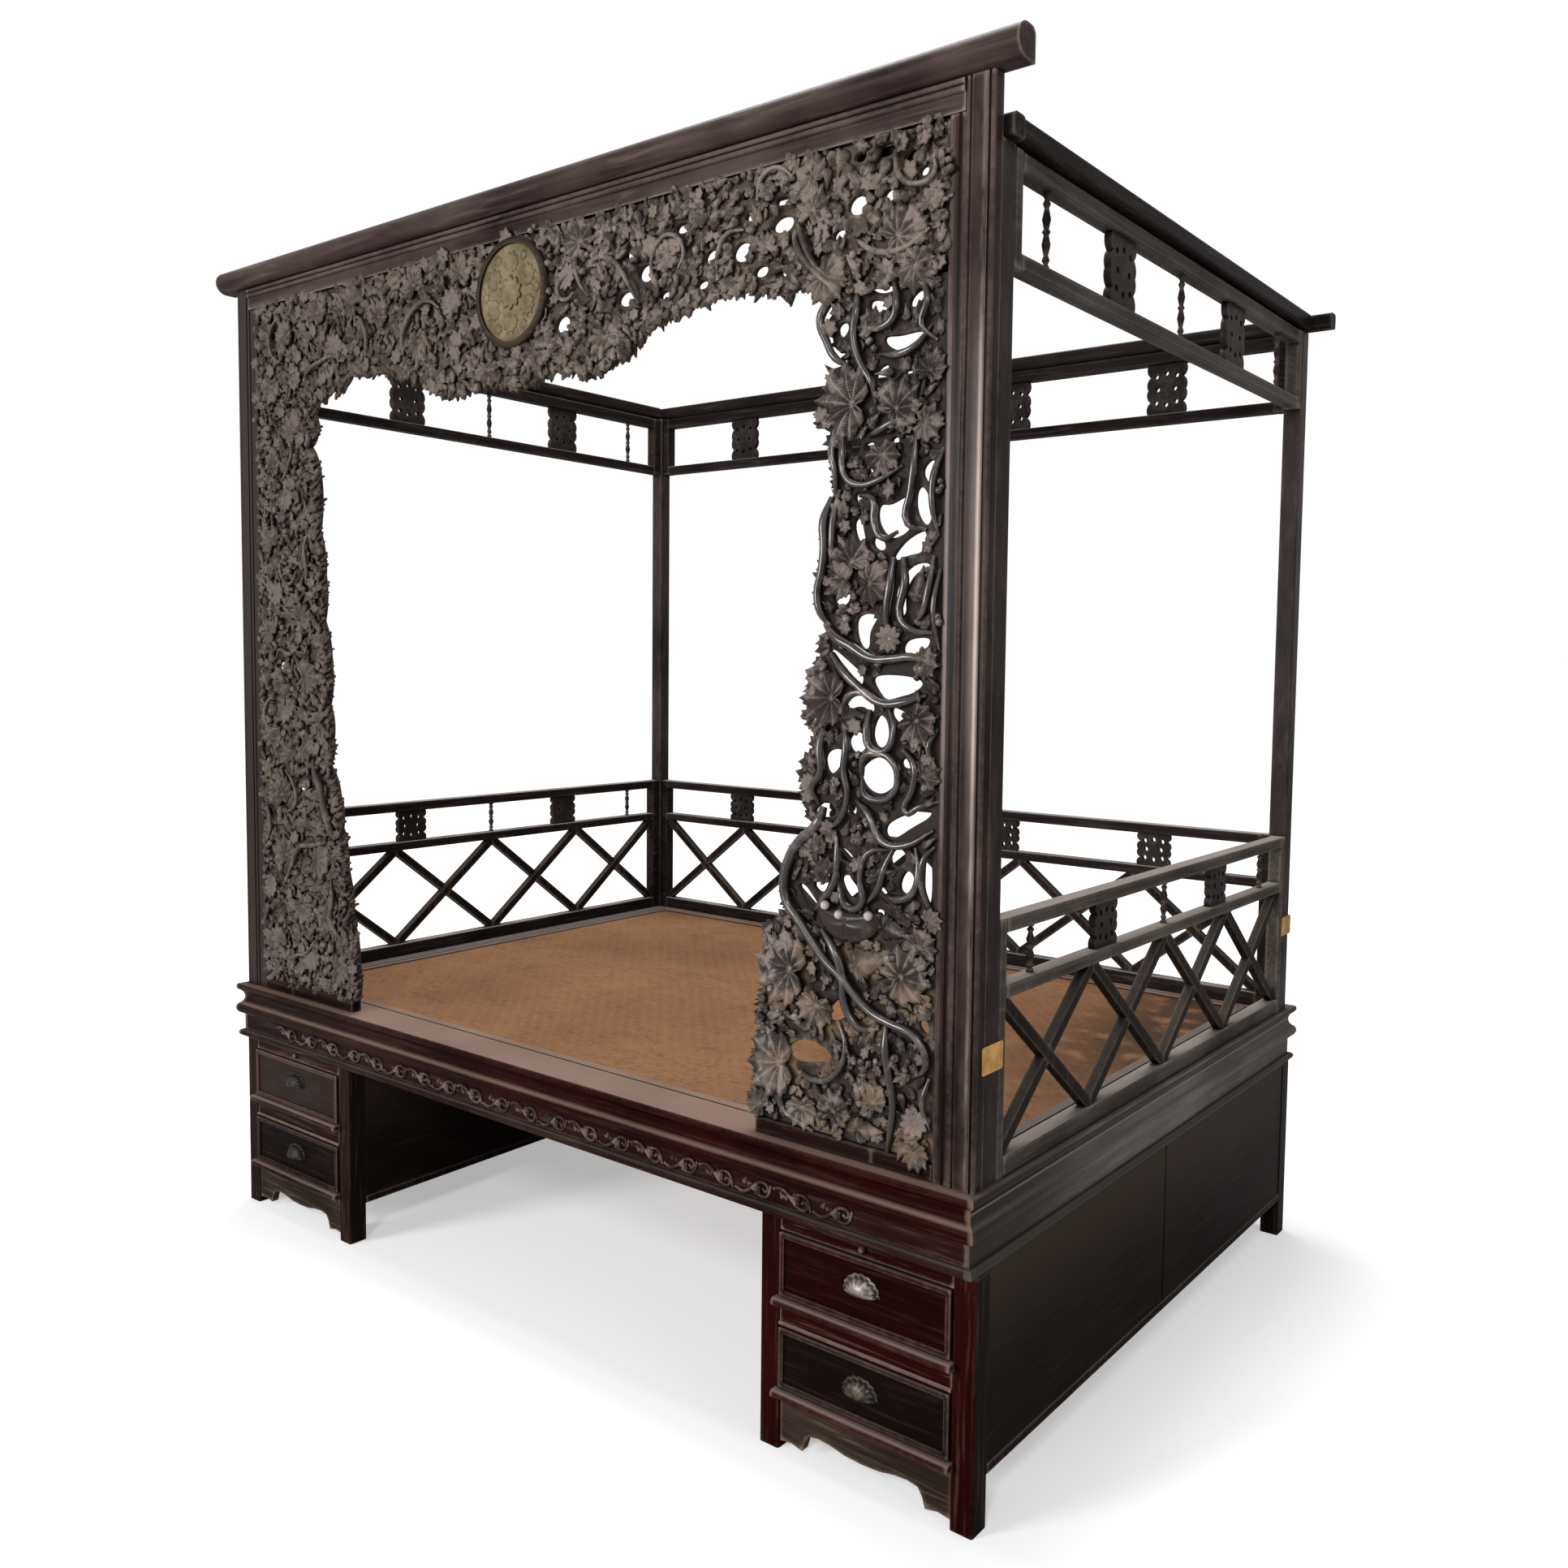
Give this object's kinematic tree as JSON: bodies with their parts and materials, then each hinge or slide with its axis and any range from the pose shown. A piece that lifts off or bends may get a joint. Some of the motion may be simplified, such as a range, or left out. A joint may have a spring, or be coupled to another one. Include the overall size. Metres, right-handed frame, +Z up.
{
  "type": "four-post canopy bed",
  "caption": "Four-post canopy bed with a carved openwork front, cane mat, lattice railings and drawer pedestals around an open kneehole.",
  "frame": {"origin": "on the floor under the middle of the bed's bounding box", "axes": "+X along the width to the sleeper's right when seen from the carved front, +Y from the carved front to the back, +Z up"},
  "size_m": [2.19, 1.46, 2.238],
  "materials": {
    "red_lacquer": "worn dark red-brown lacquer on wood",
    "dark_lacquer": "worn black-brown lacquer on wood",
    "carved_wood": "carved and polished brown-black wood",
    "plain_wood": "bare planed wood",
    "gilt_wood": "dull rubbed gilding on wood",
    "woven_cane": "tightly woven cane, matt",
    "old_brass": "tarnished sheet brass",
    "pewter": "grey worn cast metal"
  },
  "bodies": {
    "bed": {"brass_plates": "old_brass", "cane_mat": "woven_cane", "canopy_cross_beams": "dark_lacquer", "canopy_side_rails": "dark_lacquer", "corner_post_front_left": "dark_lacquer", "corner_post_front_right": "dark_lacquer", "corner_post_rear_left": "dark_lacquer", "corner_post_rear_right": "dark_lacquer", "drawer_runners": "plain_wood", "facade_beam": "dark_lacquer", "facade_carving_head": "carved_wood", "facade_carving_left": "carved_wood", "facade_carving_right": "carved_wood", "facade_head_rail": "dark_lacquer", "facade_inner_stiles": "dark_lacquer", "facade_posts": "dark_lacquer", "facade_sills": "dark_lacquer", "frieze_frame_back": "dark_lacquer", "frieze_frame_left": "dark_lacquer", "frieze_frame_right": "dark_lacquer", "frieze_plaques": "carved_wood", "frieze_spindles": "dark_lacquer", "lattice_back": "dark_lacquer", "lattice_left": "dark_lacquer", "lattice_right": "dark_lacquer", "left_pedestal_legs": "red_lacquer", "left_pedestal_panels": "red_lacquer", "left_pedestal_rails": "red_lacquer", "mat_battens": "plain_wood", "medallion_disc": "gilt_wood", "medallion_ring": "dark_lacquer", "pedestal_aprons": "red_lacquer", "railing_frame_back": "dark_lacquer", "railing_frame_left": "dark_lacquer", "railing_frame_right": "dark_lacquer", "railing_plaques": "carved_wood", "railing_spindles": "dark_lacquer", "right_pedestal_legs": "red_lacquer", "right_pedestal_panels": "red_lacquer", "right_pedestal_rails": "red_lacquer", "seat_rail_back": "red_lacquer", "seat_rail_front": "red_lacquer", "seat_rail_left": "red_lacquer", "seat_rail_right": "red_lacquer", "waist_bead": "red_lacquer", "waist_boards": "red_lacquer", "waist_front_board": "red_lacquer"},
    "left_upper_drawer": {"left_upper_drawer_front": "red_lacquer", "left_upper_drawer_box": "plain_wood", "left_upper_drawer_pull": "pewter"},
    "left_lower_drawer": {"left_lower_drawer_front": "red_lacquer", "left_lower_drawer_box": "plain_wood", "left_lower_drawer_pull": "pewter"},
    "right_upper_drawer": {"right_upper_drawer_front": "red_lacquer", "right_upper_drawer_box": "plain_wood", "right_upper_drawer_pull": "pewter"},
    "right_lower_drawer": {"right_lower_drawer_front": "red_lacquer", "right_lower_drawer_box": "plain_wood", "right_lower_drawer_pull": "pewter"}
  },
  "joints": [
    {"name": "left_upper_drawer_slide", "type": "slide", "parent": "bed", "child": "left_upper_drawer", "axis": [0, -1, 0], "range_m": [0, 0.4]},
    {"name": "left_lower_drawer_slide", "type": "slide", "parent": "bed", "child": "left_lower_drawer", "axis": [0, -1, 0], "range_m": [0, 0.4]},
    {"name": "right_upper_drawer_slide", "type": "slide", "parent": "bed", "child": "right_upper_drawer", "axis": [0, -1, 0], "range_m": [0, 0.4]},
    {"name": "right_lower_drawer_slide", "type": "slide", "parent": "bed", "child": "right_lower_drawer", "axis": [0, -1, 0], "range_m": [0, 0.4]}
  ]
}
